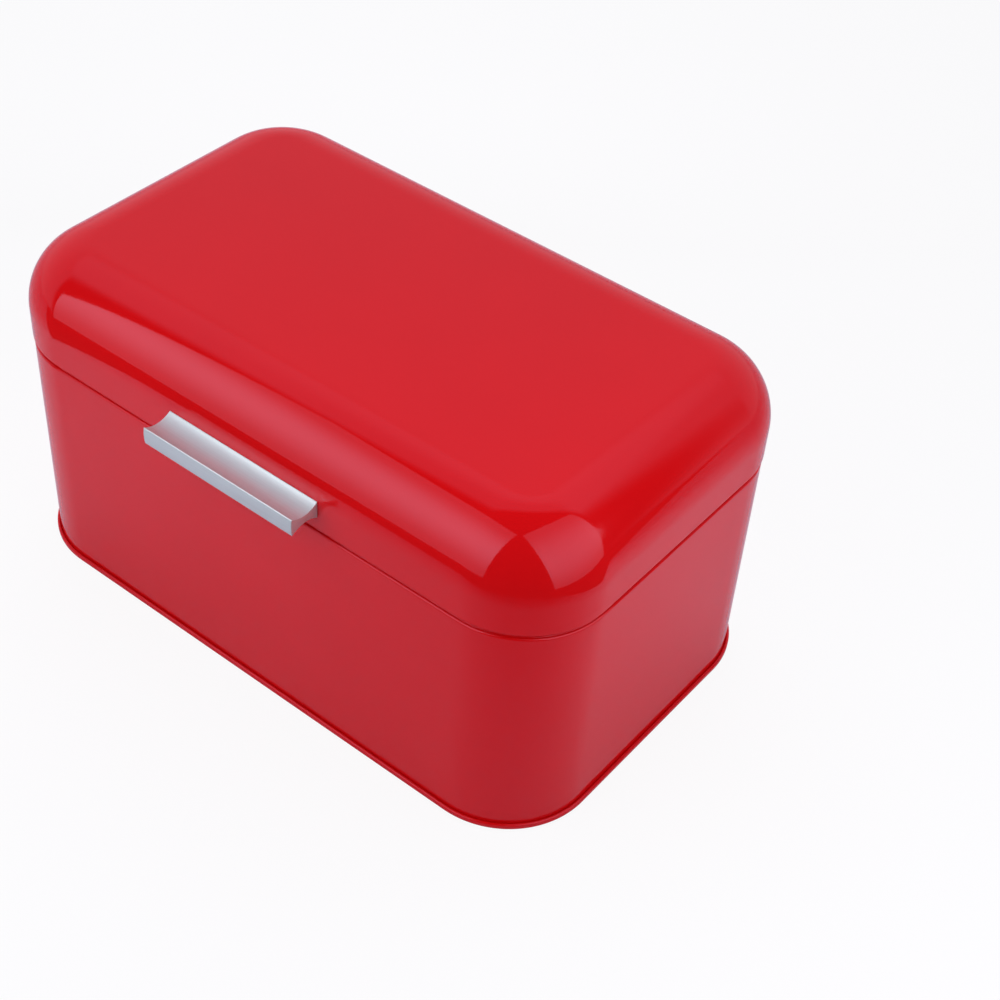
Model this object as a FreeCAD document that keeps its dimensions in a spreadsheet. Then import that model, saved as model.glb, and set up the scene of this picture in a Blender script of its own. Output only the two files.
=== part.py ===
import FreeCAD, Part
import math
import os
import types

import Sketcher

# A hinged storage tin: a straight-walled steel body with rounded corners, a double-seamed base,
# a deep-drawn lid on two stop hinges at the rear, and an extruded aluminium grip on the lid's front.
# The origin is the centre of the plane that the tin stands on: +X is the tin's right, -Y its front
# with the grip, +Z up. Lengths are millimetres and open_angle is degrees.
SIZES = {
    # Body, over the outer face of its wall.
    "body_length": 302.0,
    "body_depth": 180.0,
    "corner_radius": 40.0,
    "body_sheet": 0.5,
    # Height of the lid's lower edge, and of the whole tin.
    "parting_height": 116.0,
    "overall_height": 160.0,
    # Shoulder and neck inside the lid, with the rim rolled inward.
    "lid_rest_gap": 2.4,
    "shoulder_bend": 0.4,
    "neck_root": 0.4,
    "neck_height": 8.2,
    "rim_bend": 0.7,
    # Base pressing and its double seam.
    "base_sheet": 0.5,
    "seam_gap": 0.03,
    "seam_overlap": 0.71,
    "seam_bend": 0.3,
    "base_recess": 3.6,
    "base_bend": 0.5,
    "base_flange": 4.0,
    "panel_margin": 26.0,
    "panel_step": 1.2,
    # Lid pressing.
    "lid_overhang": 0.4,
    "lid_sheet": 0.5,
    "lid_top_radius": 30.0,
    "lid_flange": 4.0,
    "hem_height": 5.0,
    # Grip on the lid, and the screws that hold it.
    "grip_length": 81.0,
    "grip_depth": 14.4,
    "grip_height": 8.6,
    "grip_waist": 3.9,
    "grip_bulge": 0.5,
    "grip_edge": 0.35,
    "grip_rise": 6.4,
    "screw_spacing": 50.0,
    "screw_radius": 1.5,
    "screw_clearance": 0.02,
    "screw_hole_clearance": 0.2,
    "screw_reach": 5.0,
    "screw_hole_spare": 0.6,
    "screw_head_radius": 2.8,
    "screw_head_height": 2.0,
    "screw_slot_length": 3.2,
    "screw_slot_width": 0.7,
    "screw_slot_depth": 1.1,
    "screw_washer_radius": 3.5,
    "screw_washer_sheet": 0.6,
    # Stop hinges on the rear faces.
    "hinge_spacing": 160.0,
    "leaf_width": 30.0,
    "leaf_sheet": 0.8,
    "leaf_corner": 2.0,
    "pin_radius": 1.0,
    "pin_clearance": 0.05,
    "pin_head_radius": 1.6,
    "pin_head_height": 0.7,
    "barrel_clearance": 0.3,
    "knuckle_width": 13.4,
    "knuckle_gap": 0.3,
    "notch_clearance": 0.4,
    "crank_start": 2.6,
    "body_crank_end": 4.6,
    "lid_crank_end": 3.6,
    "body_leaf_drop": 14.0,
    "lid_leaf_rise": 13.6,
    "open_angle": 100.0,
    "stop_reach": 3.2,
    "stop_sheet": 0.8,
    "stop_gap": 0.1,
    # Rivets through each leaf, with a washer behind the sheet.
    "body_rivet_drop": 9.0,
    "lid_rivet_rise": 9.9,
    "rivet_spacing": 18.0,
    "rivet_radius": 1.6,
    "rivet_clearance": 0.05,
    "rivet_head_radius": 2.8,
    "rivet_head_height": 1.0,
    "rivet_tail_radius": 2.4,
    "rivet_tail_height": 1.3,
    "rivet_washer_radius": 3.4,
    "rivet_washer_sheet": 0.7,
}

UP = FreeCAD.Vector(0, 0, 1)


class Size:
    """A size that carries its present value and the sheet expression that it follows."""

    def __init__(self, value, text):
        self.value = float(value)
        self.text = text

    @staticmethod
    def of(other):
        return other if isinstance(other, Size) else Size(other, str(float(other)))

    def __add__(self, other):
        other = Size.of(other)
        return Size(self.value + other.value, f"({self.text} + {other.text})")

    def __sub__(self, other):
        other = Size.of(other)
        return Size(self.value - other.value, f"({self.text} - {other.text})")

    def __mul__(self, other):
        other = Size.of(other)
        return Size(self.value * other.value, f"({self.text} * {other.text})")

    def __truediv__(self, other):
        other = Size.of(other)
        return Size(self.value / other.value, f"({self.text} / {other.text})")

    def __neg__(self):
        return Size(-self.value, f"(0 - {self.text})")

    def __radd__(self, other):
        return Size.of(other) + self

    def __rsub__(self, other):
        return Size.of(other) - self

    def __rmul__(self, other):
        return Size.of(other) * self

    def at_most(self, other):
        other = Size.of(other)
        return Size(min(self.value, other.value), f"min({self.text}; {other.text})")

    def root(self):
        return Size(math.sqrt(self.value), f"sqrt({self.text})")


doc = FreeCAD.newDocument("hinged_tin")
sheet = doc.addObject("Spreadsheet::Sheet", "Sizes")
for row, (name, value) in enumerate(SIZES.items(), start=1):
    sheet.set(f"A{row}", name)
    sheet.set(f"B{row}", str(value))
    sheet.setAlias(f"B{row}", name)
doc.recompute()
mm = types.SimpleNamespace(**{name: Size(value, f"Sizes.{name}") for name, value in SIZES.items()})


def new_body(label):
    """A sub-part, named as its node."""
    body = doc.addObject("PartDesign::Body", label)
    body.Label = label
    return body


def place(body, x, y, z, turn=0.0):
    """Stands a sub-part at a point that follows the sheet, turned about +Z by some degrees."""
    body.Placement = FreeCAD.Placement(FreeCAD.Vector(0, 0, 0), FreeCAD.Rotation(UP, turn))
    for axis, amount in (("x", x), ("y", y), ("z", z)):
        body.setExpression(f"Placement.Base.{axis}", Size.of(amount).text)


def new_sketch(body, role, name):
    """A sketch on one of the sub-part's own origin planes."""
    sketch = body.newObject("Sketcher::SketchObject", name)
    origin_plane = next(p for p in body.Origin.OriginFeatures if p.Role == role)
    sketch.AttachmentSupport = (origin_plane, [""])
    sketch.MapMode = "FlatFace"
    return sketch


def dimension(sketch, amount, kind, *where):
    """A sketch dimension that follows the sheet."""
    number = sketch.addConstraint(Sketcher.Constraint(kind, *where, amount.value))
    sketch.setExpression(f"Constraints[{number}]", amount.text)


def pin_point(sketch, geometry, position, x, y):
    """Ties one sketch point to its distances from the sketch origin."""
    for amount, kind, axis in ((x, "DistanceX", -2), (y, "DistanceY", -1)):
        if isinstance(amount, Size):
            dimension(sketch, amount, kind, -1, 1, geometry, position)
        else:
            sketch.addConstraint(Sketcher.Constraint("PointOnObject", geometry, position, axis))


def vector(point):
    return FreeCAD.Vector(Size.of(point[0]).value, Size.of(point[1]).value, 0)


def outline(sketch, start, *edges):
    """A closed outline from the start corner. An edge is its end corner alone for a line, or its end
    corner, its centre and "left" or "right", the way it turns, for an arc. Corners are pairs of sizes,
    with a plain 0 for a corner on an axis, and each corner and centre is tied to the sheet."""
    ends = []
    corner = start
    for edge in edges:
        a, b = vector(corner), vector(edge[0])
        if len(edge) == 1:
            number = sketch.addGeometry(Part.LineSegment(a, b), False)
            ends.append((number, 1, 2))
        else:
            c = vector(edge[1])
            left = edge[2] == "left"
            first, last = (a - c, b - c) if left else (b - c, a - c)
            circle = Part.Circle(c, UP, first.Length)
            angles = [math.atan2(v.y, v.x) for v in (first, last)]
            number = sketch.addGeometry(Part.ArcOfCircle(circle, *angles), False)
            ends.append((number, 1, 2) if left else (number, 2, 1))
        corner = edge[0]
    corners = [start] + [edge[0] for edge in edges[:-1]]
    for here, after in zip(ends, ends[1:] + ends[:1]):
        sketch.addConstraint(Sketcher.Constraint("Coincident", here[0], here[2], after[0], after[1]))
    for (number, first, _), corner in zip(ends, corners):
        pin_point(sketch, number, first, *corner)
    for (number, _, _), edge, corner in zip(ends, edges, corners):
        if len(edge) == 3:
            chord = vector(edge[0]) - vector(corner)
            across = abs(chord.y) > abs(chord.x)
            amount = Size.of(edge[1][0] if across else edge[1][1])
            dimension(sketch, amount, "DistanceX" if across else "DistanceY", -1, 1, number, 3)


def circle(sketch, x, y, radius):
    number = sketch.addGeometry(Part.Circle(vector((x, y)), UP, radius.value), False)
    pin_point(sketch, number, 3, x, y)
    dimension(sketch, radius, "Radius", number)


def rectangle(sketch, x0, y0, x1, y1):
    outline(sketch, (x0, y0), ((x1, y0),), ((x1, y1),), ((x0, y1),), ((x0, y0),))


def rounded_rectangle(sketch, x, y, radius):
    """A rounded rectangle of half sizes x and y about the origin, begun at the middle of the rear."""
    dx, dy = x - radius, y - radius
    outline(
        sketch,
        (0, y),
        ((dx, y),),
        ((x, dy), (dx, dy), "right"),
        ((x, -dy),),
        ((dx, -y), (dx, -dy), "right"),
        ((-dx, -y),),
        ((-x, -dy), (-dx, -dy), "right"),
        ((-x, dy),),
        ((-dx, y), (-dx, dy), "right"),
        ((0, y),),
    )


def pad(body, sketch, length, symmetric=False):
    feature = body.newObject("PartDesign::Pad", sketch.Name + "_pad")
    feature.Profile = sketch
    feature.setExpression("Length", length.text)
    if symmetric:
        feature.SideType = "Symmetric"
    doc.recompute()
    return feature


def pocket(body, sketch, depth=None, symmetric=False, reverse=False):
    """Cuts the sketch away, to a depth or right through, and makes sure that it cut."""
    before = body.Shape.Volume
    feature = body.newObject("PartDesign::Pocket", sketch.Name + "_cut")
    feature.Profile = sketch
    feature.Reversed = reverse
    if depth is None:
        feature.Type = "ThroughAll"
    else:
        feature.setExpression("Length", depth.text)
    if symmetric:
        feature.SideType = "Symmetric"
    doc.recompute()
    if not body.Shape.Volume < before - 1e-6:
        raise RuntimeError(f"{sketch.Name} cuts nothing")
    return feature


def revolve(body, sketch, axis):
    feature = body.newObject("PartDesign::Revolution", sketch.Name + "_turned")
    feature.Profile = sketch
    feature.ReferenceAxis = (sketch, [axis])
    feature.Angle = 360.0
    doc.recompute()
    return feature


def sweep(body, profile, path):
    feature = body.newObject("PartDesign::AdditivePipe", profile.Name + "_swept")
    feature.Profile = profile
    feature.Spine = (path, [])
    doc.recompute()
    return feature


def soften(body, feature, radius, wanted):
    """Rounds the edges that a test picks."""
    names = [f"Edge{n}" for n, edge in enumerate(feature.Shape.Edges, start=1) if wanted(edge)]
    fillet = body.newObject("PartDesign::Fillet", feature.Name + "_rounded")
    fillet.Base = (feature, names)
    fillet.setExpression("Radius", radius.text)
    doc.recompute()
    return fillet


def along(edge, axis):
    """Does a straight edge run along this axis?"""
    if type(edge.Curve).__name__ not in ("Line", "LineSegment"):
        return False
    direction = edge.Vertexes[-1].Point - edge.Vertexes[0].Point
    return abs(direction.normalize().dot(axis)) > 0.9999


half_length = mm.body_length / 2
half_depth = mm.body_depth / 2


def body_path(body, name):
    """The line of the body wall's outer face in plan, which the base, wall and lid all follow."""
    path = new_sketch(body, "XY_Plane", name)
    rounded_rectangle(path, half_length, half_depth, mm.corner_radius)
    return path


def section(u, z):
    """A point of a swept section: u outward from the wall's outer face at the rear, z up."""
    return (half_depth + u, Size.of(z))


# Layers of the double seam, from the wall outward: the base's inner hook, the wall's hook and the
# base's outer band. Each bend just clears the layer that it wraps.
wall_fold = mm.base_sheet / 2 + mm.seam_gap
wall_fold_height = mm.base_sheet + mm.seam_gap + wall_fold + mm.body_sheet
base_fold = mm.body_sheet / 2 + mm.seam_gap
base_fold_height = wall_fold_height + mm.seam_overlap
seam_height = base_fold_height + base_fold + mm.base_sheet
wall_hook_in = wall_fold * 2
wall_hook_out = wall_hook_in + mm.body_sheet
seam_band_in = wall_hook_out + mm.seam_gap
seam_overhang = seam_band_in + mm.base_sheet

# Shoulder, neck and rolled rim of the body.
shoulder_top = mm.parting_height - mm.lid_rest_gap
shoulder_round = mm.shoulder_bend + mm.body_sheet
shoulder_level = shoulder_top - shoulder_round
neck_inset = shoulder_round + mm.neck_root
neck_level = shoulder_top + mm.neck_root
rim_round = mm.rim_bend + mm.body_sheet
rim_level = shoulder_top + mm.neck_height - rim_round
rim_inset = neck_inset + rim_round

# Hinge axis, level with the lid's lower edge and far enough out for the barrel to clear the lid.
bore_radius = mm.pin_radius + mm.pin_clearance
barrel_radius = bore_radius + mm.leaf_sheet
axis_out = mm.lid_overhang + mm.barrel_clearance + barrel_radius
axis_y = half_depth + axis_out
axis_z = mm.parting_height

rivet_hole = mm.rivet_radius + mm.rivet_clearance
hinge_sides = (("left", -1), ("right", 1))

# Body wall: one strip of sheet, its lower edge turned out and up as the seam's hook, its upper edge
# stepped in as a neck for the lid and rolled inward.
wall = new_body("body_wall")
wall_path = body_path(wall, "wall_path")
wall_profile = new_sketch(wall, "YZ_Plane", "wall_profile")
sheet_in = -mm.body_sheet
outline(
    wall_profile,
    section(Size.of(0), wall_fold_height),
    (section(Size.of(0), shoulder_level),),
    (section(-shoulder_round, shoulder_top), section(-shoulder_round, shoulder_level), "left"),
    (section(-neck_inset, neck_level), section(-shoulder_round, neck_level), "right"),
    (section(-neck_inset, rim_level),),
    (section(-rim_inset, rim_level - rim_round), section(-rim_inset, rim_level), "left"),
    (section(-rim_inset, rim_level - mm.rim_bend),),
    (section(-(neck_inset + mm.body_sheet), rim_level), section(-rim_inset, rim_level), "right"),
    (section(-(neck_inset + mm.body_sheet), neck_level),),
    (section(-shoulder_round, shoulder_top - mm.body_sheet), section(-shoulder_round, neck_level), "left"),
    (section(sheet_in, shoulder_level), section(-shoulder_round, shoulder_level), "right"),
    (section(sheet_in, wall_fold_height),),
    (section(wall_hook_out, wall_fold_height), section(wall_fold, wall_fold_height), "left"),
    (section(wall_hook_out, base_fold_height),),
    (section(wall_hook_in, base_fold_height),),
    (section(wall_hook_in, wall_fold_height),),
    (section(Size.of(0), wall_fold_height), section(wall_fold, wall_fold_height), "right"),
)
sweep(wall, wall_profile, wall_path)
wall_holes = new_sketch(wall, "XZ_Plane", "wall_rivet_holes")
for _, side in hinge_sides:
    for offset in (-1, 1):
        hole_x = side * mm.hinge_spacing / 2 + offset * mm.rivet_spacing / 2
        circle(wall_holes, hole_x, axis_z - mm.body_rivet_drop, rivet_hole)
pocket(wall, wall_holes)

# Base: a shallow tray whose edge runs down inside the wall, flat along the ground, up outside the
# wall's hook and down again behind it. Its middle is pressed up as a stiffening panel.
base = new_body("base_panel")
base_path = body_path(base, "base_path")
base_profile = new_sketch(base, "YZ_Plane", "base_profile")
tray_out = -(mm.body_sheet + mm.seam_gap)
tray_in = tray_out - mm.base_sheet
tray_bend_level = mm.base_recess - mm.base_bend
tray_bend_in = tray_in - mm.base_bend
flange_in = tray_bend_in - mm.base_flange
foot_round = mm.seam_bend + mm.base_sheet
outline(
    base_profile,
    section(flange_in, mm.base_recess),
    (section(tray_bend_in, mm.base_recess),),
    (section(tray_in, tray_bend_level), section(tray_bend_in, tray_bend_level), "right"),
    (section(tray_in, foot_round),),
    ((half_depth + tray_in + foot_round, 0), section(tray_in + foot_round, foot_round), "left"),
    ((half_depth + seam_overhang - foot_round, 0),),
    (section(seam_overhang, foot_round), section(seam_overhang - foot_round, foot_round), "left"),
    (section(seam_overhang, base_fold_height),),
    (
        section(mm.seam_gap, base_fold_height),
        section((seam_overhang + mm.seam_gap) / 2, base_fold_height),
        "left",
    ),
    (section(mm.seam_gap, wall_fold_height),),
    (section(mm.seam_gap + mm.base_sheet, wall_fold_height),),
    (section(mm.seam_gap + mm.base_sheet, base_fold_height),),
    (
        section(seam_band_in, base_fold_height),
        section((seam_overhang + mm.seam_gap) / 2, base_fold_height),
        "right",
    ),
    (section(seam_band_in, foot_round),),
    (
        section(seam_overhang - foot_round, mm.base_sheet),
        section(seam_overhang - foot_round, foot_round),
        "right",
    ),
    (section(tray_in + foot_round, mm.base_sheet),),
    (section(tray_out, foot_round), section(tray_in + foot_round, foot_round), "right"),
    (section(tray_out, tray_bend_level),),
    (
        section(tray_bend_in, mm.base_recess + mm.base_sheet),
        section(tray_bend_in, tray_bend_level),
        "left",
    ),
    (section(flange_in, mm.base_recess + mm.base_sheet),),
    (section(flange_in, mm.base_recess),),
)
sweep(base, base_profile, base_path)
plate_edge = flange_in + mm.base_flange / 2
plate = new_sketch(base, "XY_Plane", "base_plate")
plate.setExpression("AttachmentOffset.Base.z", mm.base_recess.text)
rounded_rectangle(plate, half_length + plate_edge, half_depth + plate_edge, mm.corner_radius + plate_edge)
pad(base, plate, mm.base_sheet)
panel_edge = flange_in - mm.panel_margin
panel_corner = mm.corner_radius / 2
panel = new_sketch(base, "XY_Plane", "base_panel_top")
panel.setExpression("AttachmentOffset.Base.z", (mm.base_recess + mm.base_sheet).text)
rounded_rectangle(panel, half_length + panel_edge, half_depth + panel_edge, panel_corner)
pad(base, panel, mm.panel_step)
hollow_edge = panel_edge - mm.base_sheet
hollow = new_sketch(base, "XY_Plane", "base_panel_hollow")
hollow.setExpression("AttachmentOffset.Base.z", mm.base_recess.text)
rounded_rectangle(
    hollow, half_length + hollow_edge, half_depth + hollow_edge, panel_corner - mm.base_sheet
)
pocket(base, hollow, mm.panel_step, reverse=True)

# Lid: a deep-drawn cap with a broad rounded shoulder and its lower edge folded inside as a hem.
lid = new_body("lid_shell")
lid_path = body_path(lid, "lid_path")
lid_profile = new_sketch(lid, "YZ_Plane", "lid_profile")
lid_in = mm.lid_overhang - mm.lid_sheet
hem_in = lid_in - mm.lid_sheet
hem_level = mm.parting_height + mm.lid_sheet
hem_top = mm.parting_height + mm.hem_height
# The shoulder's rounding is limited by the wall, which stays upright behind the hinge leaf.
lid_round = mm.lid_top_radius.at_most(mm.overall_height - mm.parting_height - mm.lid_leaf_rise)
top_bend_level = mm.overall_height - lid_round
top_bend_in = mm.lid_overhang - lid_round
top_inside = mm.overall_height - mm.lid_sheet
outline(
    lid_profile,
    section(mm.lid_overhang, hem_level),
    (section(mm.lid_overhang, top_bend_level),),
    (section(top_bend_in, mm.overall_height), section(top_bend_in, top_bend_level), "left"),
    (section(top_bend_in - mm.lid_flange, mm.overall_height),),
    (section(top_bend_in - mm.lid_flange, top_inside),),
    (section(top_bend_in, top_inside),),
    (section(lid_in, top_bend_level), section(top_bend_in, top_bend_level), "right"),
    (section(lid_in, hem_top),),
    (section(hem_in, hem_top),),
    (section(hem_in, hem_level),),
    (section(mm.lid_overhang, hem_level), section(lid_in, hem_level), "left"),
)
sweep(lid, lid_profile, lid_path)
lid_edge = top_bend_in - mm.lid_flange / 2
lid_top = new_sketch(lid, "XY_Plane", "lid_top")
lid_top.setExpression("AttachmentOffset.Base.z", top_inside.text)
rounded_rectangle(lid_top, half_length + lid_edge, half_depth + lid_edge, mm.corner_radius + lid_edge)
pad(lid, lid_top, mm.lid_sheet)
grip_z = mm.parting_height + mm.grip_rise
screw_z = grip_z + mm.grip_height / 2
lid_rear_holes = new_sketch(lid, "XZ_Plane", "lid_rivet_holes")
for _, side in hinge_sides:
    for offset in (-1, 1):
        hole_x = side * mm.hinge_spacing / 2 + offset * mm.rivet_spacing / 2
        circle(lid_rear_holes, hole_x, axis_z + mm.lid_rivet_rise, rivet_hole)
pocket(lid, lid_rear_holes)
lid_front_holes = new_sketch(lid, "XZ_Plane", "lid_screw_holes")
for side in (-1, 1):
    circle(lid_front_holes, side * mm.screw_spacing / 2, screw_z, mm.screw_radius + mm.screw_hole_clearance)
pocket(lid, lid_front_holes, reverse=True)

# Grip: an extruded bar with a flat back, a hollow above and below for the fingers and a slightly
# rounded front. Its back has two blind tapped holes.
grip = new_body("grip_bar")
grip_profile = new_sketch(grip, "YZ_Plane", "grip_profile")
scoop = (mm.grip_height - mm.grip_waist) / 2
scoop_radius = (mm.grip_depth * mm.grip_depth / 4 + scoop * scoop) / (2 * scoop)
front_radius = (mm.grip_height * mm.grip_height / 4 + mm.grip_bulge * mm.grip_bulge) / (2 * mm.grip_bulge)
outline(
    grip_profile,
    (0, 0),
    ((mm.grip_depth, 0), (mm.grip_depth / 2, scoop - scoop_radius), "right"),
    (
        (mm.grip_depth, mm.grip_height),
        (mm.grip_depth + mm.grip_bulge - front_radius, mm.grip_height / 2),
        "left",
    ),
    ((0, mm.grip_height), (mm.grip_depth / 2, mm.grip_height - scoop + scoop_radius), "right"),
    ((0, 0),),
)
grip_bar = pad(grip, grip_profile, mm.grip_length, symmetric=True)
grip_round = soften(grip, grip_bar, mm.grip_edge, lambda e: along(e, FreeCAD.Vector(1, 0, 0)))
grip_holes = new_sketch(grip, "XZ_Plane", "grip_screw_holes")
for side in (-1, 1):
    circle(
        grip_holes, side * mm.screw_spacing / 2, mm.grip_height / 2, mm.screw_radius + mm.screw_clearance
    )
pocket(grip, grip_holes, mm.screw_reach + mm.screw_hole_spare)
lid_front = half_depth + mm.lid_overhang
place(grip, 0, -lid_front, grip_z, turn=180.0)

# Screws from inside the lid into the grip, each with a plain washer under its cross-slotted head.
for label, side in hinge_sides:
    screw_x = side * mm.screw_spacing / 2
    head_seat = -(lid_front - mm.lid_sheet - mm.screw_washer_sheet)
    shank = mm.screw_washer_sheet + mm.lid_sheet + mm.screw_reach

    screw = new_body(f"grip_screw_{label}")
    screw_profile = new_sketch(screw, "XY_Plane", f"screw_{label}_profile")
    outline(
        screw_profile,
        (0, -shank),
        ((mm.screw_radius, -shank),),
        ((mm.screw_radius, 0),),
        ((mm.screw_head_radius, 0),),
        ((mm.screw_head_radius, mm.screw_head_height),),
        ((0, mm.screw_head_height),),
        ((0, -shank),),
    )
    turned = revolve(screw, screw_profile, "V_Axis")
    soften(
        screw,
        turned,
        mm.screw_head_height / 3,
        lambda e: e.BoundBox.YMin > mm.screw_head_height.value - 1e-6 and e.Length > 1,
    )
    for turn, along_x in (("across", True), ("up", False)):
        slot = new_sketch(screw, "XZ_Plane", f"screw_{label}_slot_{turn}")
        slot.setExpression("AttachmentOffset.Base.z", (-mm.screw_head_height).text)
        reach, half = mm.screw_slot_length / 2, mm.screw_slot_width / 2
        x, z = (reach, half) if along_x else (half, reach)
        rectangle(slot, -x, -z, x, z)
        pocket(screw, slot, mm.screw_slot_depth, reverse=True)
    place(screw, screw_x, head_seat, screw_z)

    washer = new_body(f"grip_washer_{label}")
    ring = new_sketch(washer, "XZ_Plane", f"washer_{label}_ring")
    circle(ring, 0, 0, mm.screw_washer_radius)
    circle(ring, 0, 0, mm.screw_radius + mm.screw_hole_clearance)
    pad(washer, ring, mm.screw_washer_sheet)
    place(washer, screw_x, head_seat, screw_z)


def leaf(label, profile_name, corners_z, sign, back, crank_end, reach, rivet_level):
    """A hinge leaf rolled round the axis at its origin. sign is -1 for the leaf below the axis and 1
    for the one above, back is how far its flat lies in front of the axis."""
    body = new_body(label)
    profile = new_sketch(body, "YZ_Plane", profile_name)
    front = barrel_radius - mm.leaf_sheet
    meet = (barrel_radius * barrel_radius - front * front).root()
    way = "right" if sign < 0 else "left"
    outline(
        profile,
        (-back, sign * reach),
        ((-back, sign * crank_end),),
        ((-barrel_radius, sign * mm.crank_start),),
        ((-barrel_radius, 0),),
        ((-front, sign * meet), (0, 0), way),
        ((-front, sign * mm.crank_start),),
        ((mm.leaf_sheet - back, sign * crank_end),),
        ((mm.leaf_sheet - back, sign * reach),),
        ((-back, sign * reach),),
    )
    circle(profile, 0, 0, bore_radius)
    flat = pad(body, profile, mm.leaf_width, symmetric=True)
    soften(
        body,
        flat,
        mm.leaf_corner,
        lambda e: along(e, FreeCAD.Vector(0, 1, 0)) and abs(e.CenterOfMass.z) > corners_z,
    )
    holes = new_sketch(body, "XZ_Plane", f"{profile_name}_holes")
    for offset in (-1, 1):
        circle(holes, offset * mm.rivet_spacing / 2, sign * rivet_level, rivet_hole)
    pocket(body, holes, symmetric=True)
    return body


def rivets(label, grip_through, x, y, z):
    """A pair of domed rivets along +Y, their heads seated on the leaf at y."""
    body = new_body(label)
    dome = (mm.rivet_head_radius * mm.rivet_head_radius + mm.rivet_head_height * mm.rivet_head_height) / (
        2 * mm.rivet_head_height
    )
    for name, offset in hinge_sides:
        profile = new_sketch(body, "XY_Plane", f"{label}_{name}")
        profile.setExpression("AttachmentOffset.Base.x", (offset * mm.rivet_spacing / 2).text)
        outline(
            profile,
            (0, -(grip_through + mm.rivet_tail_height)),
            ((mm.rivet_radius, -(grip_through + mm.rivet_tail_height)),),
            ((mm.rivet_tail_radius, -grip_through),),
            ((mm.rivet_radius, -grip_through),),
            ((mm.rivet_radius, 0),),
            ((mm.rivet_head_radius, 0),),
            ((0, mm.rivet_head_height), (0, mm.rivet_head_height - dome), "left"),
            ((0, -(grip_through + mm.rivet_tail_height)),),
        )
        revolve(body, profile, "V_Axis")
    place(body, x, y, z)


def rivet_washers(label, x, y, z):
    """The pair of washers behind the sheet, from its inner face at y inward."""
    body = new_body(label)
    rings = new_sketch(body, "XZ_Plane", f"{label}_rings")
    for offset in (-1, 1):
        circle(rings, offset * mm.rivet_spacing / 2, 0, mm.rivet_washer_radius)
        circle(rings, offset * mm.rivet_spacing / 2, 0, rivet_hole)
    pad(body, rings, mm.rivet_washer_sheet)
    place(body, x, y, z)


# Hinges: on each side a leaf riveted to the body with two outer knuckles, a leaf riveted to the lid
# with the middle knuckle, and a headed pin. Lips on the outer knuckles stop the lid's leaf when open.
for label, side in hinge_sides:
    hinge_x = side * mm.hinge_spacing / 2

    body_leaf = leaf(
        f"hinge_{label}_body_leaf",
        f"{label}_body_leaf",
        mm.body_crank_end.value,
        -1,
        axis_out,
        mm.body_crank_end,
        mm.body_leaf_drop,
        mm.body_rivet_drop,
    )
    lip = new_sketch(body_leaf, "YZ_Plane", f"{label}_stop_lip")
    lip.setExpression("AttachmentOffset.Rotation.Angle", f"90 - {mm.open_angle.text}")
    lip.setExpression("AttachmentOffset.Rotation.Axis.z", "1")
    lip_face = mm.barrel_clearance + barrel_radius - mm.leaf_sheet - mm.stop_gap
    rectangle(
        lip,
        bore_radius + mm.leaf_sheet / 4,
        lip_face - mm.stop_sheet,
        barrel_radius + mm.stop_reach,
        lip_face,
    )
    pad(body_leaf, lip, mm.leaf_width, symmetric=True)
    middle = new_sketch(body_leaf, "XZ_Plane", f"{label}_middle_notch")
    notch_half = mm.knuckle_width / 2 + mm.knuckle_gap
    notch_reach = barrel_radius + mm.notch_clearance
    rectangle(middle, -notch_half, -notch_reach, notch_half, notch_reach)
    pocket(body_leaf, middle, symmetric=True)
    place(body_leaf, hinge_x, axis_y, axis_z)

    lid_leaf = leaf(
        f"hinge_{label}_lid_leaf",
        f"{label}_lid_leaf",
        mm.lid_crank_end.value,
        1,
        axis_out - mm.lid_overhang,
        mm.lid_crank_end,
        mm.lid_leaf_rise,
        mm.lid_rivet_rise,
    )
    for name, end in hinge_sides:
        outer = new_sketch(lid_leaf, "XZ_Plane", f"{label}_outer_notch_{name}")
        x0, x1 = end * mm.knuckle_width / 2, end * (mm.leaf_width / 2 + mm.knuckle_gap)
        rectangle(outer, x0, -notch_reach, x1, mm.lid_crank_end)
        pocket(lid_leaf, outer, symmetric=True)
    place(lid_leaf, hinge_x, axis_y, axis_z)

    pin = new_body(f"hinge_{label}_pin")
    pin_profile = new_sketch(pin, "XY_Plane", f"{label}_pin_profile")
    pin_half = mm.leaf_width / 2 + mm.pin_clearance
    pin_end = pin_half + mm.pin_head_height
    outline(
        pin_profile,
        (-pin_end, 0),
        ((pin_end, 0),),
        ((pin_end, mm.pin_head_radius),),
        ((pin_half, mm.pin_head_radius),),
        ((pin_half, mm.pin_radius),),
        ((-pin_half, mm.pin_radius),),
        ((-pin_half, mm.pin_head_radius),),
        ((-pin_end, mm.pin_head_radius),),
        ((-pin_end, 0),),
    )
    revolve(pin, pin_profile, "H_Axis")
    place(pin, hinge_x, axis_y, axis_z)

    body_rivet_z = axis_z - mm.body_rivet_drop
    rivets(
        f"hinge_{label}_body_rivets",
        mm.leaf_sheet + mm.body_sheet + mm.rivet_washer_sheet,
        hinge_x,
        half_depth + mm.leaf_sheet,
        body_rivet_z,
    )
    rivet_washers(f"hinge_{label}_body_washers", hinge_x, half_depth - mm.body_sheet, body_rivet_z)

    lid_rivet_z = axis_z + mm.lid_rivet_rise
    rivets(
        f"hinge_{label}_lid_rivets",
        mm.leaf_sheet + mm.lid_sheet + mm.rivet_washer_sheet,
        hinge_x,
        half_depth + mm.lid_overhang + mm.leaf_sheet,
        lid_rivet_z,
    )
    rivet_washers(f"hinge_{label}_lid_washers", hinge_x, half_depth + lid_in, lid_rivet_z)

doc.recompute()

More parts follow.
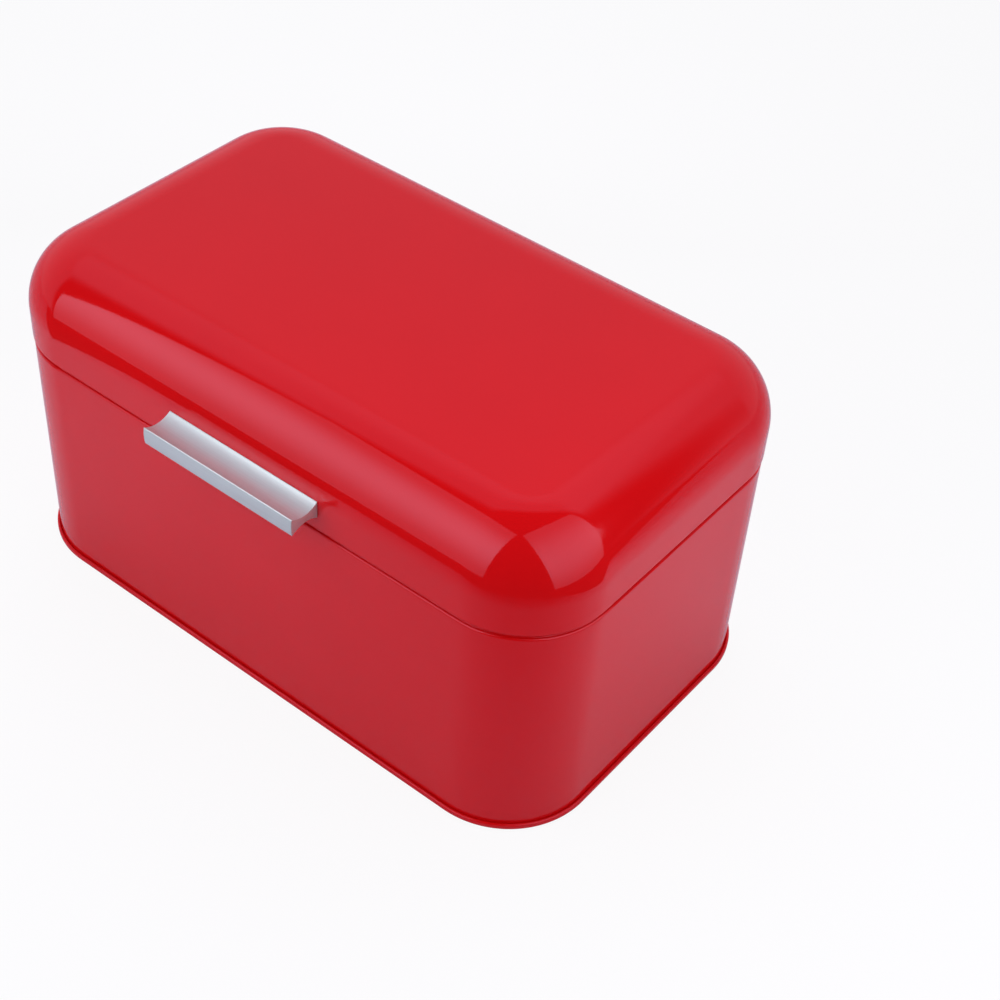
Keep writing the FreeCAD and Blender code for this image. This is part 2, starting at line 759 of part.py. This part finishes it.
# Nothing is written unless every object is sound.
for thing in doc.Objects:
    if {"Invalid", "Error"} & set(thing.State):
        raise RuntimeError(f"{thing.Label} failed: {thing.State}")
sub_parts = [thing for thing in doc.Objects if thing.TypeId == "PartDesign::Body"]
for body in sub_parts:
    if body.Shape.isNull() or not body.Shape.isValid() or not body.Shape.Solids:
        raise RuntimeError(f"{body.Label} has no sound solid")
os.makedirs("parts", exist_ok=True)
for body in sub_parts:
    body.Shape.exportStep(os.path.join("parts", f"{body.Label}.step"))
    print(f"{body.Label}: {len(body.Shape.Solids)} solid, {body.Shape.Volume:.1f} mm3")
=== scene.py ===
import bpy
import numpy as np
from mathutils import Matrix


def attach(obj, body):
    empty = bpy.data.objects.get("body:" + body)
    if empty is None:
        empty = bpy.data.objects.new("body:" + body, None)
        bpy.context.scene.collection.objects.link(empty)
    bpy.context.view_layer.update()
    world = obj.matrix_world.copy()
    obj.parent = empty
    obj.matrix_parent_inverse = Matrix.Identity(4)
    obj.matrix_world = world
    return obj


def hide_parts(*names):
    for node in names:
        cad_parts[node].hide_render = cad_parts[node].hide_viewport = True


# The tin stands on z = 0 with its middle at the origin: +X to its right, -Y to its front, +Z up.
# Sections are drawn in millimetres, as u outward from the wall's outer face and z up.
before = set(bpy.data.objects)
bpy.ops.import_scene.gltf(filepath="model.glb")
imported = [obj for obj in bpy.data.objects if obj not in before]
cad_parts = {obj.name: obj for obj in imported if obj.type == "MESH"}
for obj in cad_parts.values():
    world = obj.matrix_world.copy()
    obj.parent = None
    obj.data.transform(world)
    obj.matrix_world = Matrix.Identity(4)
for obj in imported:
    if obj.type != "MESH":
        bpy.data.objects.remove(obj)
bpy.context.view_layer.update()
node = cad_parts

# Body wall. One strip of steel sheet bent round four corners and enamelled red inside and out.
# Its lower edge is hooked into the base seam, and its upper edge steps in as a neck for the lid
# and rolls inward, so that no raw edge is left for a hand to meet.
wall_half_length = 151.0
wall_half_depth = 90.0
wall_corner = 40.0
sheet = 0.5
hook_bend = 0.28
hook_level = 1.31
hook_top = 2.02
tight_bend = 0.4
broad_bend = tight_bend + sheet
shoulder_level = 112.7
neck_level = 114.0
rim_level = 120.6
rim_roll = 1.2
rim_u = -broad_bend - tight_bend - rim_roll


def bend(centre_u, centre_z, radius, start, end, steps=8):
    """A bend in a section: the centre plus the radius times the cosine and sine of an even run of
    angles, in degrees from outward towards up."""
    angle = np.radians(np.linspace(start, end, steps + 1))
    return np.stack([centre_u + radius * np.cos(angle), centre_z + radius * np.sin(angle)], axis=1)


def straight(*points):
    """Points of a section that straight runs join."""
    return np.array(points, float)


def round_the_tin(section, corner=None, steps=40):
    """Carries a section round the tin. Each point (u, z) becomes a rounded rectangle at height z
    whose half sizes are the wall's plus u. Its corner radius is the wall's plus u, or the one given.
    A corner point is the corner's centre plus the radius along its angle, and near each corner the
    straight sides get a few points along the tangent, so that the flat sides shade flat."""
    u, z = section[:, :1], section[:, 1:]
    radius = wall_corner + u if corner is None else np.broadcast_to(corner, u.shape)
    turn = np.concatenate([np.zeros(3), np.linspace(0, 1, steps + 1), np.ones(3)])
    run = np.concatenate([[-20.0, -4.0, -1.0], np.zeros(steps + 1), [1.0, 4.0, 20.0]])
    angle = (np.arange(4)[:, None] + turn).ravel() * np.pi / 2
    side_x = np.repeat([1.0, -1.0, -1.0, 1.0], turn.size)
    side_y = np.repeat([1.0, 1.0, -1.0, -1.0], turn.size)
    run = np.tile(run, 4)
    x = side_x * (wall_half_length + u - radius) + radius * np.cos(angle) - run * np.sin(angle)
    y = side_y * (wall_half_depth + u - radius) + radius * np.sin(angle) + run * np.cos(angle)
    return np.stack([x, y, np.broadcast_to(z, x.shape)], axis=2)


def skin(name, rings, looped):
    """A smooth mesh over rings of points. Point j of ring i joins point j + 1 and ring i + 1, and the
    last point joins the first. The last ring joins the first if looped, and otherwise flat caps close
    both ends. Only edges sharper than 40 degrees stay sharp."""
    count, around = rings.shape[:2]
    index = np.arange(count * around).reshape(count, around)
    after = np.roll(index, -1, axis=0) if looped else index[1:]
    here = index if looped else index[:-1]
    quads = np.stack([here, np.roll(here, -1, axis=1), np.roll(after, -1, axis=1), after], axis=2)
    faces = quads.reshape(-1, 4).tolist()
    if not looped:
        faces += [index[0, ::-1].tolist(), index[-1].tolist()]
    mesh = bpy.data.meshes.new(name)
    mesh.from_pydata((rings.reshape(-1, 3) * 0.001).tolist(), [], faces)
    mesh.shade_smooth()
    mesh.set_sharp_from_angle(angle=np.radians(40.0))
    piece = bpy.data.objects.new(name, mesh)
    bpy.context.scene.collection.objects.link(piece)
    return piece


class Finish:
    """A socket in a material's nodes. Sums of finishes add Math nodes, and node() adds any other."""

    def __init__(self, tree, socket=None):
        self.tree = tree
        self.socket = socket

    def node(self, kind, settings, sockets, out=0):
        """Adds a node of this kind: its settings first, then its sockets' values or links."""
        made = self.tree.nodes.new(kind)
        for name, value in settings.items():
            setattr(made, name, value)
        for name, value in sockets.items():
            if isinstance(value, Finish):
                self.tree.links.new(value.socket, made.inputs[name])
            else:
                made.inputs[name].default_value = value
        return Finish(self.tree, made.outputs[out])

    def math(self, operation, first, second):
        """Adds a Math node on two finishes or numbers."""
        return self.node("ShaderNodeMath", {"operation": operation}, {0: first, 1: second})

    def __add__(self, other):
        return self.math("ADD", self, other)

    def __radd__(self, other):
        return self.math("ADD", other, self)

    def __sub__(self, other):
        return self.math("SUBTRACT", self, other)

    def __rsub__(self, other):
        return self.math("SUBTRACT", other, self)

    def __mul__(self, other):
        return self.math("MULTIPLY", self, other)

    def __rmul__(self, other):
        return self.math("MULTIPLY", other, self)


def new_finish(name):
    """An empty material, with the finish of its object's own coordinates in metres."""
    material = bpy.data.materials.new(name)
    material.use_nodes = True
    material.node_tree.nodes.clear()
    start = Finish(material.node_tree)
    place = start.node("ShaderNodeTexCoord", {}, {}, out="Object")
    return material, place


def speckle(place, scale, detail=2.0):
    """Noise between 0 and 1 whose spots are about one metre over the scale across."""
    return place.node("ShaderNodeTexNoise", {}, {"Vector": place, "Scale": scale, "Detail": detail})


def blend_colour(amount, first, second):
    """The first colour where the amount is 0 and the second where it is 1."""
    return amount.node(
        "ShaderNodeMix", {"data_type": "RGBA"}, {"Factor": amount, 6: first, 7: second}, out=2
    )


def relief(height, strength, depth):
    """The normals of a fine relief, in which a height of 1 stands for this depth in metres."""
    return height.node(
        "ShaderNodeBump", {}, {"Strength": strength, "Distance": depth, "Height": height}
    )


def close_finish(shader):
    """Sends a shader to the material's surface."""
    output = shader.tree.nodes.new("ShaderNodeOutputMaterial")
    shader.tree.links.new(shader.socket, output.inputs["Surface"])


def principled(place, sockets):
    """Makes a Principled shader with these sockets' values or links the material's surface."""
    close_finish(place.node("ShaderNodeBsdfPrincipled", {}, sockets))


# Baked enamel: a deep red that varies a little with its thickness, under a gloss skin with the
# faint orange peel of sprayed paint and the slow ripple of thin sheet.
enamel, place = new_finish("red_enamel")
coat = speckle(place, 22.0)
peel = speckle(place, 620.0, detail=1.0)
ripple = speckle(place, 16.0, detail=1.0)
thin_red = (0.635, 0.0028, 0.0040, 1)
thick_red = (0.685, 0.0034, 0.0050, 1)
principled(place, {
    "Base Color": blend_colour(coat, thin_red, thick_red),
    "Roughness": 0.045 + peel * 0.02,
    "Specular IOR Level": 0.42,
    "Specular Tint": (1.0, 0.76, 1.0, 1),
    "Normal": relief(peel * 0.55 + ripple * 9.0, strength=0.35, depth=0.00001),
})

# The section starts outside at the foot. A few points on its straight runs keep the shading flat.
wall_section = np.concatenate([
    straight((0.0, hook_level), (0.0, 4.0), (0.0, 8.0), (0.0, 111.0), (0.0, 112.4)),
    bend(-broad_bend, shoulder_level, broad_bend, 0, 90, 14),
    bend(-broad_bend, neck_level, tight_bend, 270, 180)[1:],
    bend(rim_u, rim_level, rim_roll, 0, 270, 16),
    bend(rim_u, rim_level, rim_roll - sheet, 270, 0, 12),
    bend(-broad_bend, neck_level, broad_bend, 180, 270),
    bend(-broad_bend, shoulder_level, tight_bend, 90, 0)[1:],
    straight((-sheet, 111.0), (-sheet, 4.0)),
    bend(hook_bend, hook_level, hook_bend + sheet, 180, 360, 12),
    straight((2 * hook_bend + sheet, hook_top), (2 * hook_bend, hook_top)),
    bend(hook_bend, hook_level, hook_bend, 0, -180)[:-1],
])
wall = skin("enamelled_wall", round_the_tin(wall_section), looped=True)
wall.data.materials.append(enamel)
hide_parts("body_wall")
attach(wall, "tin_body")

# Base. A shallow enamelled steel tray with a stiffening panel pressed up in its middle. Its edge is
# rolled round the wall's hook as a double seam, the plain red bead that the tin stands on.
tray_level = 3.6
tray_bend = 0.5
tray_u = -5.53
panel_level = 4.8
panel_corner = 20.0
panel_u = -31.53
middle_u = -36.0
seam_inner = -1.03
seam_outer = 1.59
seam_foot = 0.8
fold = hook_bend + sheet
fold_u = seam_outer - fold

tray_under = straight(
    (middle_u, panel_level),
    (panel_u - sheet, panel_level),
    (panel_u - sheet, tray_level),
)
tray_over = straight(
    (panel_u, tray_level + sheet),
    (panel_u, panel_level + sheet),
    (middle_u, panel_level + sheet),
)
seam_section = np.concatenate([
    straight((tray_u, tray_level)),
    bend(seam_inner - tray_bend, tray_level - tray_bend, tray_bend, 90, 0),
    bend(seam_inner + seam_foot, seam_foot, seam_foot, 180, 270),
    bend(seam_outer - seam_foot, seam_foot, seam_foot, 270, 360),
    bend(fold_u, hook_top, fold, 0, 180, 12),
    straight((fold_u - fold, hook_level), (fold_u - hook_bend, hook_level)),
    bend(fold_u, hook_top, hook_bend, 180, 0),
    bend(seam_outer - seam_foot, seam_foot, seam_foot - sheet, 360, 270),
    bend(seam_inner + seam_foot, seam_foot, seam_foot - sheet, 270, 180),
    bend(seam_inner - tray_bend, tray_level - tray_bend, tray_bend + sheet, 0, 90),
    straight((tray_u, tray_level + sheet)),
])
base = skin(
    "enamelled_base",
    np.concatenate([
        round_the_tin(tray_under, panel_corner - sheet),
        round_the_tin(seam_section),
        round_the_tin(tray_over, panel_corner),
    ]),
    looped=False,
)
base.data.materials.append(enamel)
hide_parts("base_panel")
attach(base, "tin_body")

# Hinges. Two stop hinges of pressed steel, bright plated, on the rear: each leaf is held by two
# rivets with washers behind the sheet, and a headed pin joins the knuckles.
hinge_pieces = [
    "body_leaf", "lid_leaf", "pin", "body_rivets", "body_washers", "lid_rivets", "lid_washers"
]


def drawn_lines(place, along, across, detail):
    """Noise drawn out along X: its spots are about one metre over these scales long and wide."""
    drawn = place.node(
        "ShaderNodeMapping", {}, {"Vector": place, "Scale": (along, across, across)}
    )
    return speckle(drawn, 1.0, detail)


plating, place = new_finish("plated_steel")
brush_marks = drawn_lines(place, 60.0, 2400.0, detail=3.0)
dull_plate = (0.50, 0.50, 0.49, 1)
bright_plate = (0.64, 0.635, 0.62, 1)
principled(place, {
    "Base Color": blend_colour(speckle(place, 180.0), dull_plate, bright_plate),
    "Metallic": 1.0,
    "Roughness": 0.22 + brush_marks * 0.14,
    "Normal": relief(brush_marks, strength=0.25, depth=0.00002),
})
for side in ("left", "right"):
    for name in hinge_pieces:
        node[f"hinge_{side}_{name}"].material_slots[0].material = plating

# Lid. A deep-drawn enamelled steel cap with a broad rounded shoulder. Its lower edge is folded
# inside as a flat hem, which leaves a small round edge over the body's shoulder.
lid_face = 0.4
lid_inside = lid_face - sheet
lid_top = 160.0
lid_ceiling = lid_top - sheet
lid_shoulder = 30.0
lid_shoulder_u = lid_face - lid_shoulder
lid_shoulder_level = lid_top - lid_shoulder
hem_foot = 116.0
hem_top = 121.0

# As on the wall, a few points on the straight runs keep the shading flat.
lid_section = np.concatenate([
    straight((middle_u, lid_ceiling), (-31.0, lid_ceiling), (-30.1, lid_ceiling)),
    bend(lid_shoulder_u, lid_shoulder_level, lid_shoulder - sheet, 90, 0, 40),
    straight((lid_inside, 129.0), (lid_inside, hem_top), (lid_inside - sheet, hem_top)),
    bend(lid_inside, hem_foot + sheet, sheet, 180, 360, 16),
    straight((lid_face, 117.0), (lid_face, 118.0), (lid_face, 128.0), (lid_face, 129.5)),
    bend(lid_shoulder_u, lid_shoulder_level, lid_shoulder, 0, 90, 56),
    straight((-30.1, lid_top), (-31.0, lid_top), (middle_u, lid_top)),
])
lid = skin("enamelled_lid", round_the_tin(lid_section), looped=False)
lid.data.materials.append(enamel)
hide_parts("lid_shell")
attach(lid, "lid")

# Grip. A short bar cut from an aluminium extrusion, satin anodised, hollowed above and below for
# the fingers and slightly rounded in front. Two screws from inside the lid hold its flat back.
grip_half_length = 40.5
grip_depth = 14.4
grip_height = 8.6
grip_back = -wall_half_depth - lid_face
grip_front = grip_back - grip_depth
grip_foot = 122.4
grip_top = grip_foot + grip_height
scoop_radius = 12.205
nose_radius = 18.74
edge_trim = 0.5
end_round = 0.2

aluminium, place = new_finish("satin_aluminium")
die_lines = drawn_lines(place, 25.0, 1700.0, detail=2.0)
matte_grain = speckle(place, 3200.0)
dull_aluminium = (0.79, 0.88, 0.88, 1)
bright_aluminium = (0.87, 0.96, 0.96, 1)
principled(place, {
    "Base Color": blend_colour(die_lines, dull_aluminium, bright_aluminium),
    "Metallic": 1.0,
    "Roughness": 0.50 + matte_grain * 0.10,
    "Specular Tint": (0.42, 0.46, 0.48, 1),
    "Normal": relief(matte_grain * 0.7 + die_lines * 0.5, strength=0.3, depth=0.00003),
})


def arc_between(start, end, radius, bulge, steps=28):
    """An arc from one corner of the bar's section to the next, less the edge trim at both ends. It
    stands off the chord's middle on the left of its direction if bulge is 1 and on the right if -1.
    A point is the centre plus the radius times the cosine and sine of an even run of angles."""
    start, end = np.array(start), np.array(end)
    chord = end - start
    length = np.hypot(*chord)
    left = np.array([-chord[1], chord[0]]) / length
    centre = (start + end) / 2 - bulge * left * np.sqrt(radius**2 - length**2 / 4)
    first = np.arctan2(*(start - centre)[::-1])
    sweep = -bulge * 2 * np.arcsin(length / 2 / radius)
    cut = edge_trim / (radius * abs(sweep))
    angle = first + sweep * np.linspace(cut, 1 - cut, steps + 1)
    return centre + radius * np.stack([np.cos(angle), np.sin(angle)], axis=1)


def round_corner(before, corner, after, steps=6):
    """A rounded corner between two sides: a parabola from the end of one to the start of the next,
    with the sharp corner as its control point."""
    t = np.linspace(0, 1, steps + 1)[1:-1, None]
    return (1 - t) ** 2 * before[-1] + 2 * t * (1 - t) * np.array(corner) + t**2 * after[0]


def bar_rings(section, half_length, edge):
    """Carries a closed section along X. The end rings draw in by the edge round along a quarter
    circle: inward by edge times 1 - cosine and along by edge times 1 - sine."""
    before, after = np.roll(section, 1, axis=0), np.roll(section, -1, axis=0)
    tangent = after - before
    tangent /= np.hypot(tangent[:, 0], tangent[:, 1])[:, None]
    inward = np.stack([-tangent[:, 1], tangent[:, 0]], axis=1)
    quarter = np.radians(np.linspace(0, 90, 6))
    draw = edge * (1 - np.cos(quarter))
    reach = half_length - edge * (1 - np.sin(quarter))
    third = half_length / 3
    depth = np.concatenate([draw[::-1], [0.0, 0.0], draw])
    x = np.concatenate([-reach[::-1], [-third, third], reach])
    points = section + depth[:, None, None] * inward
    return np.concatenate([np.broadcast_to(x[:, None, None], points.shape[:2] + (1,)), points], axis=2)


top_back = (grip_back, grip_top)
top_front = (grip_front, grip_top)
foot_front = (grip_front, grip_foot)
foot_back = (grip_back, grip_foot)
scoop_above = arc_between(top_back, top_front, scoop_radius, bulge=1)
nose = arc_between(top_front, foot_front, nose_radius, bulge=-1)
scoop_below = arc_between(foot_front, foot_back, scoop_radius, bulge=1)
flat_back = straight((grip_back, grip_foot + edge_trim), (grip_back, grip_top - edge_trim))
grip_section = np.concatenate([
    scoop_above,
    round_corner(scoop_above, top_front, nose),
    nose,
    round_corner(nose, foot_front, scoop_below),
    scoop_below,
    round_corner(scoop_below, foot_back, flat_back),
    flat_back,
    round_corner(flat_back, top_back, scoop_above),
])
grip = skin("aluminium_grip", bar_rings(grip_section, grip_half_length, end_round), looped=False)
grip.data.materials.append(aluminium)
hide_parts("grip_bar")
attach(grip, "lid")

# Grip screws. Two plated steel pan-head screws with plain washers, one near each end of the grip.
# They are driven from inside the lid, through its front, into the grip's back.
for side in ("left", "right"):
    node[f"grip_screw_{side}"].material_slots[0].material = plating
    node[f"grip_washer_{side}"].material_slots[0].material = plating

# Light panels. White cloth stretched on frames and lit from behind: one in front of the tin, one to
# its right, and one behind it, which lights the lid's far side but doesn't show in the gloss.
cloth_white = (0.975, 0.965, 1.045, 1)


def studio_sheet(name, low, high, strength, rim=1.0, crest=1, lights=True, shows=True):
    """A sheet from a lower to an upper line of points in metres: a point is the mix of both lines. It
    glows by the strength a little below mid height, and down to the rim's share of it at both lines,
    along a parabola over its height to the power 0.75, raised to the power of the crest. The camera
    never sees it. It lights the tin if lights is true, and shows in gloss if shows is true."""
    rise = np.linspace(0, 1, 25)[:, None, None]
    rows = np.array(low) * (1 - rise) + np.array(high) * rise
    swell = rise**0.75
    parabola = 4 * swell * (1 - swell)
    glow = np.broadcast_to(rim + (1 - rim) * parabola**crest, rows.shape[:2] + (1,))
    index = np.arange(glow.size).reshape(rows.shape[:2])
    quads = np.stack([index[:-1, :-1], index[:-1, 1:], index[1:, 1:], index[1:, :-1]], axis=2)
    mesh = bpy.data.meshes.new(name)
    mesh.from_pydata(rows.reshape(-1, 3).tolist(), [], quads.reshape(-1, 4).tolist())
    mesh.attributes.new("glow", "FLOAT", "POINT").data.foreach_set("value", glow.ravel())
    material, place = new_finish(name)
    shine = place.node("ShaderNodeAttribute", {"attribute_name": "glow"}, {}, out="Fac")
    close_finish(
        place.node("ShaderNodeEmission", {}, {"Color": cloth_white, "Strength": shine * strength})
    )
    mesh.materials.append(material)
    cloth = bpy.data.objects.new(name, mesh)
    bpy.context.scene.collection.objects.link(cloth)
    cloth.visible_camera = False
    cloth.visible_shadow = False
    cloth.visible_diffuse = lights
    cloth.visible_glossy = shows


studio_sheet(
    "front_panel",
    [(-0.354, -0.364, 0.090), (0.090, -0.756, 0.072)],
    [(-0.310, -0.207, 0.715), (0.238, -0.503, 1.273)],
    strength=2.38,
    rim=0.32,
    crest=4,
)
studio_sheet(
    "right_panel",
    [(0.557, -0.240, 0.044), (0.499, 0.192, 0.119)],
    [(0.245, -0.277, 0.759), (0.276, 0.220, 0.623)],
    strength=1.90,
    rim=0.40,
    crest=3,
)
studio_sheet(
    "back_cloth",
    [(-0.40, 0.04, 0.18), (-0.04, 0.34, 0.18)],
    [(-0.40, 0.06, 0.45), (-0.04, 0.36, 0.45)],
    strength=1.8,
    shows=False,
)

# Table. The dark table top round the front of the paper, from the paper's edge to the edge of an
# unlit room. It gives no light, and shows in the gloss as a deeper red.
dark_room = 0.05
table_level = 0.001
paper_edge = [
    (-0.25, -0.19), (-0.265, -0.33), (-0.15, -0.44), (0.16, -0.40),
    (0.36, -0.31), (0.41, -0.11), (0.32, 0.06),
]
room_edge = [
    (-2.6, -2.0), (-2.2, -2.6), (-1.0, -3.2), (1.0, -3.2),
    (2.4, -2.4), (3.2, -0.6), (2.4, 2.2),
]
studio_sheet(
    "dark_table",
    [(x, y, table_level) for x, y in paper_edge],
    [(x, y, table_level) for x, y in room_edge],
    strength=dark_room,
    lights=False,
)

# Paper floor. White paper laid under the tin and out through the mouth of the tent. Out of the mouth
# its colour is painted darker, as painted shade: fully in the gloss, a fifth as much in the light it
# bounces, and not at all to the camera. To the gloss it also shows a fifth darker all over. The camera
# sees it as nearly white, with the tin's soft shadow on it.
floor_half = 6.0
floor_level = -0.0002
# Painted shade out of the tent's mouth: where it starts and ends, how deep it goes, and its share in
# the light the paper bounces.
mouth_turn = np.radians(43.0)
painted_shade_start = 0.04
painted_shade_end = 0.42
painted_shade_depth = 0.82
painted_shade_in_light = 0.2
gloss_loss = 0.20
camera_glow = 0.90
paper_white = (0.86, 0.85, 0.93, 1)


def ray_is(place, kind):
    """1 for a ray of this kind and 0 for any other."""
    return place.node("ShaderNodeLightPath", {}, {}, out=f"Is {kind} Ray")


def reach_along(place, direction):
    """How far a point, or a direction, reaches along a direction: their dot product."""
    return place.node(
        "ShaderNodeVectorMath", {"operation": "DOT_PRODUCT"}, {0: place, 1: direction}, out="Value"
    )


def smooth_step(value, low, high):
    """0 up to the low value, 1 from the high one, and a smooth S between them."""
    return value.node(
        "ShaderNodeMapRange",
        {"interpolation_type": "SMOOTHSTEP"},
        {"Value": value, "From Min": low, "From Max": high},
    )


paper, place = new_finish("white_paper")
to_camera = ray_is(place, "Camera")
to_gloss = ray_is(place, "Glossy")
# Painted shade: the paper's colour darkens with distance out of the tent's mouth.
out_of_tent = reach_along(place, (np.sin(mouth_turn), -np.cos(mouth_turn), 0.0))
painted_shade = smooth_step(out_of_tent, painted_shade_start, painted_shade_end) * painted_shade_depth
painted_shade_share = painted_shade_in_light + to_gloss * (1 - painted_shade_in_light)
lightness = (1 - to_gloss * gloss_loss) * (1 - painted_shade * painted_shade_share * (1 - to_camera))
paper_colour = blend_colour(lightness, (0, 0, 0, 1), paper_white)
matte = place.node("ShaderNodeBsdfDiffuse", {}, {"Color": paper_colour})
bright = place.node("ShaderNodeEmission", {}, {"Color": (1, 1, 1, 1), "Strength": 1.0})
glow_share = to_camera * camera_glow
close_finish(place.node("ShaderNodeMixShader", {}, {0: glow_share, 1: matte, 2: bright}))
paper.cycles.emission_sampling = "NONE"

floor_mesh = bpy.data.meshes.new("paper_floor")
floor_corners = [(-1, -1), (1, -1), (1, 1), (-1, 1)]
floor_mesh.from_pydata(
    [(x * floor_half, y * floor_half, floor_level) for x, y in floor_corners], [], [(0, 1, 2, 3)]
)
floor_mesh.materials.append(paper)
floor = bpy.data.objects.new("paper_floor", floor_mesh)
bpy.context.scene.collection.objects.link(floor)

# Tent. White cloth hung round and over the tin, whose mouth leans open towards the camera and the
# dark room. In the gloss the cloth shows dimmer than its light, with a paler band under the ridge.
mouth_lean = np.radians(18.0)
mouth_edge = (-0.09, 0.03)
ridge_foot = (0.67, 0.75)
ridge_top = (0.80, 0.90)
tent_light = 1.19
tent_gloss = 0.46
ridge_gloss = 0.20
tent_white = (0.975, 0.93, 1.08, 1)

room = bpy.data.worlds.new("white_tent")
room.use_nodes = True
room.node_tree.nodes.clear()
air = Finish(room.node_tree)
towards = air.node("ShaderNodeTexCoord", {}, {}, out="Generated")
into_tent = (
    -np.sin(mouth_turn) * np.cos(mouth_lean),
    np.cos(mouth_turn) * np.cos(mouth_lean),
    -np.sin(mouth_lean),
)
tent = smooth_step(reach_along(towards, into_tent), *mouth_edge)
upward_part = air.node("ShaderNodeSeparateXYZ", {}, {"Vector": towards}, out="Z")
ridge = smooth_step(upward_part, *ridge_foot) - smooth_step(upward_part, *ridge_top)
cloth_gloss = tent_gloss + ridge * ridge_gloss
mirrored = ray_is(air, "Glossy") + ray_is(air, "Transmission")
tent_level = tent_light - mirrored * (tent_light - cloth_gloss)
sky_to_camera = ray_is(air, "Camera")
sky_strength = (dark_room + tent * tent_level) * (1 - sky_to_camera) + sky_to_camera
sky = blend_colour(sky_to_camera, tent_white, (1, 1, 1, 1))
background = air.node("ShaderNodeBackground", {}, {"Color": sky, "Strength": sky_strength})
output = room.node_tree.nodes.new("ShaderNodeOutputWorld")
room.node_tree.links.new(background.socket, output.inputs["Surface"])
bpy.context.scene.world = room
bpy.context.scene.view_settings.view_transform = "Standard"

# Camera. It looks down on the front right corner from about 0.8 m, a little rolled, and aims
# beside the tin's middle, so that the tin stands left of the picture's centre.
azimuth, elevation, roll = np.radians([35.6, 42.583, 4.48])
aim_height = 0.08
eye_distance = 0.811845
eye_right = 0.048651
eye_down = 0.025958
right = np.array([np.cos(azimuth), np.sin(azimuth), 0.0])
back = np.array([
    np.sin(azimuth) * np.cos(elevation), -np.cos(azimuth) * np.cos(elevation), np.sin(elevation)
])
upward = np.cross(back, right)
right, upward = (
    np.cos(roll) * right + np.sin(roll) * upward,
    np.cos(roll) * upward - np.sin(roll) * right,
)
aim = np.array([0.0, 0.0, aim_height])
eye = aim + eye_distance * back + eye_right * right - eye_down * upward
lens = bpy.data.cameras.new("camera")
lens.sensor_width = 36.0
lens.lens = 65.829
lens.clip_start = 0.01
camera = bpy.data.objects.new("camera", lens)
axes = np.stack([right, upward, back, eye], axis=1)
camera.matrix_world = Matrix([*axes.tolist(), [0.0, 0.0, 0.0, 1.0]])
bpy.context.scene.collection.objects.link(camera)
bpy.context.scene.camera = camera
